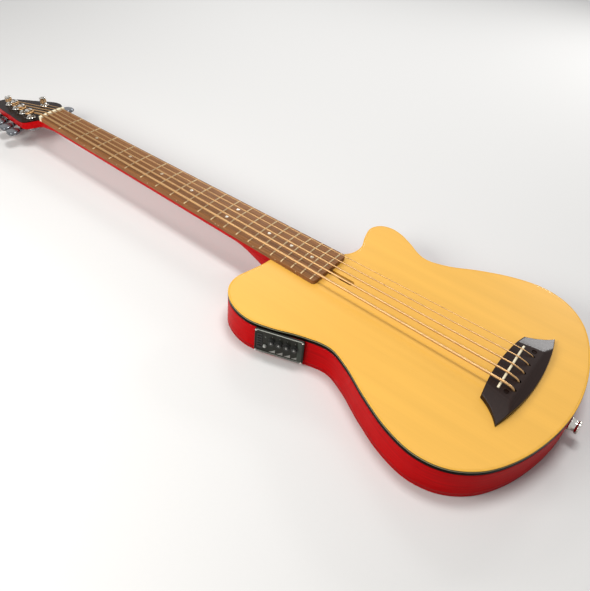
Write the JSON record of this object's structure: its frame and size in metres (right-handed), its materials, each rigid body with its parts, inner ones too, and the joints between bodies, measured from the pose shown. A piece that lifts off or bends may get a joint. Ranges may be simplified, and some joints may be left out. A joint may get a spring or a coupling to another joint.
{
  "type": "acoustic bass guitar",
  "caption": "Thin-bodied acoustic-electric bass guitar with one cutaway, a pinless bridge, geared tuners and a preamp in its side.",
  "frame": {"origin": "on the back's outer face, half way along the body on its centre line", "axes": "+X along the strings from the headstock to the tail, +Y to the treble side, +Z out of the top"},
  "size_m": [1.1375, 0.3558, 0.0664],
  "materials": {
    "top_wood": "clear gloss over honey-coloured spruce",
    "red_wood": "transparent red gloss over mahogany",
    "bare_wood": "unfinished, sanded",
    "board_wood": "oiled rosewood",
    "dark_wood": "black-stained, satin",
    "black_plastic": "black, gloss",
    "charcoal_plastic": "dark grey, fine texture",
    "bone": "polished, cream",
    "string_bronze": "bronze winding",
    "chrome": "polished",
    "brass": "turned",
    "steel": "plain"
  },
  "bodies": {
    "instrument": {"soundboard": "top_wood", "back_plate": "red_wood", "side_bass": "red_wood", "side_treble": "red_wood", "top_binding": "black_plastic", "neck_block": "bare_wood", "tail_block": "bare_wood", "top_lining_bass": "bare_wood", "top_lining_treble": "bare_wood", "back_lining_bass": "bare_wood", "back_lining_treble": "bare_wood", "x_brace": "bare_wood", "back_brace_1": "bare_wood", "back_brace_2": "bare_wood", "bridge_plate": "bare_wood", "neck": "red_wood", "head_plate": "dark_wood", "truss_rod": "steel", "fingerboard": "board_wood", "nut": "bone", "bridge": "dark_wood", "saddle": "bone", "saddle_pickup": "brass", "string_1": "string_bronze", "string_2": "string_bronze", "string_3": "string_bronze", "string_4": "string_bronze", "string_5": "string_bronze", "tuner_plate_1": "chrome", "tuner_bushing_1": "chrome", "tuner_plate_2": "chrome", "tuner_bushing_2": "chrome", "tuner_plate_3": "chrome", "tuner_bushing_3": "chrome", "tuner_plate_4": "chrome", "tuner_bushing_4": "chrome", "tuner_plate_5": "chrome", "tuner_bushing_5": "chrome", "preamp_face": "charcoal_plastic", "preamp_housing": "black_plastic", "end_pin_jack": "chrome", "strap_ring": "chrome"},
    "key_1": {"tuner_key_1": "chrome"},
    "post_1": {"tuner_post_1": "chrome"},
    "key_2": {"tuner_key_2": "chrome"},
    "post_2": {"tuner_post_2": "chrome"},
    "key_3": {"tuner_key_3": "chrome"},
    "post_3": {"tuner_post_3": "chrome"},
    "key_4": {"tuner_key_4": "chrome"},
    "post_4": {"tuner_post_4": "chrome"},
    "key_5": {"tuner_key_5": "chrome"},
    "post_5": {"tuner_post_5": "chrome"},
    "rod_nut": {"truss_rod_nut": "brass"},
    "knob_1": {"preamp_knob_1": "black_plastic"},
    "knob_2": {"preamp_knob_2": "black_plastic"},
    "knob_3": {"preamp_knob_3": "black_plastic"},
    "knob_4": {"preamp_knob_4": "black_plastic"},
    "button": {"preamp_button": "black_plastic"},
    "tray": {"battery_tray": "black_plastic", "coin_cell": "steel"}
  },
  "joints": [
    {"name": "tuner_key_1_turn", "type": "hinge", "parent": "instrument", "child": "key_1", "pos_m": [-0.77093, -0.02209, 0.02735], "axis": [-0.2111, -0.9765, -0.0429], "continuous": true},
    {"name": "tuner_post_1_turn", "type": "hinge", "parent": "instrument", "child": "post_1", "pos_m": [-0.76162, -0.025, 0.04772], "axis": [-0.1994, 0, 0.9799], "continuous": true},
    {"name": "tuner_key_2_turn", "type": "hinge", "parent": "instrument", "child": "key_2", "pos_m": [-0.80424, -0.01459, 0.02057], "axis": [-0.2111, -0.9765, -0.0429], "continuous": true},
    {"name": "tuner_post_2_turn", "type": "hinge", "parent": "instrument", "child": "post_2", "pos_m": [-0.79494, -0.0175, 0.04094], "axis": [-0.1994, 0, 0.9799], "continuous": true},
    {"name": "tuner_key_3_turn", "type": "hinge", "parent": "instrument", "child": "key_3", "pos_m": [-0.83756, -0.00709, 0.01379], "axis": [-0.2111, -0.9765, -0.0429], "continuous": true},
    {"name": "tuner_post_3_turn", "type": "hinge", "parent": "instrument", "child": "post_3", "pos_m": [-0.82825, -0.01, 0.03416], "axis": [-0.1994, 0, 0.9799], "continuous": true},
    {"name": "tuner_key_4_turn", "type": "hinge", "parent": "instrument", "child": "key_4", "pos_m": [-0.87088, 0.00041, 0.00702], "axis": [-0.2111, -0.9765, -0.0429], "continuous": true},
    {"name": "tuner_post_4_turn", "type": "hinge", "parent": "instrument", "child": "post_4", "pos_m": [-0.86157, -0.0025, 0.02738], "axis": [-0.1994, 0, 0.9799], "continuous": true},
    {"name": "tuner_key_5_turn", "type": "hinge", "parent": "instrument", "child": "key_5", "pos_m": [-0.77523, 0.02541, 0.02647], "axis": [-0.1024, 0.9945, -0.0208], "continuous": true},
    {"name": "tuner_post_5_turn", "type": "hinge", "parent": "instrument", "child": "post_5", "pos_m": [-0.792, 0.024, 0.04154], "axis": [-0.1994, 0, 0.9799], "continuous": true},
    {"name": "truss_rod_nut_turn", "type": "hinge", "parent": "instrument", "child": "rod_nut", "pos_m": [-0.1312, 0, 0.044], "axis": [1, 0, 0], "range_deg": [-180, 180]},
    {"name": "preamp_knob_1_turn", "type": "hinge", "parent": "instrument", "child": "knob_1", "pos_m": [-0.12019, -0.13908, 0.02999], "axis": [0.3275, -0.9449, 0], "range_deg": [-140, 140]},
    {"name": "preamp_knob_2_turn", "type": "hinge", "parent": "instrument", "child": "knob_2", "pos_m": [-0.11056, -0.13574, 0.02999], "axis": [0.3275, -0.9449, 0], "range_deg": [-140, 140]},
    {"name": "preamp_knob_3_turn", "type": "hinge", "parent": "instrument", "child": "knob_3", "pos_m": [-0.10092, -0.1324, 0.02999], "axis": [0.3275, -0.9449, 0], "range_deg": [-140, 140]},
    {"name": "preamp_knob_4_turn", "type": "hinge", "parent": "instrument", "child": "knob_4", "pos_m": [-0.09128, -0.12906, 0.02999], "axis": [0.3275, -0.9449, 0], "range_deg": [-140, 140]},
    {"name": "preamp_button_press", "type": "slide", "parent": "instrument", "child": "button", "axis": [-0.3275, 0.9449, 0], "range_m": [0, 0.001], "stiffness_N_per_m": 300},
    {"name": "battery_tray_slide", "type": "slide", "parent": "instrument", "child": "tray", "axis": [0.3275, -0.9449, 0], "range_m": [0, 0.024]}
  ],
  "couplings": [
    {"joint": "tuner_post_1_turn", "follows": "tuner_key_1_turn", "ratio": -0.05},
    {"joint": "tuner_post_2_turn", "follows": "tuner_key_2_turn", "ratio": -0.05},
    {"joint": "tuner_post_3_turn", "follows": "tuner_key_3_turn", "ratio": -0.05},
    {"joint": "tuner_post_4_turn", "follows": "tuner_key_4_turn", "ratio": -0.05},
    {"joint": "tuner_post_5_turn", "follows": "tuner_key_5_turn", "ratio": -0.05}
  ]
}
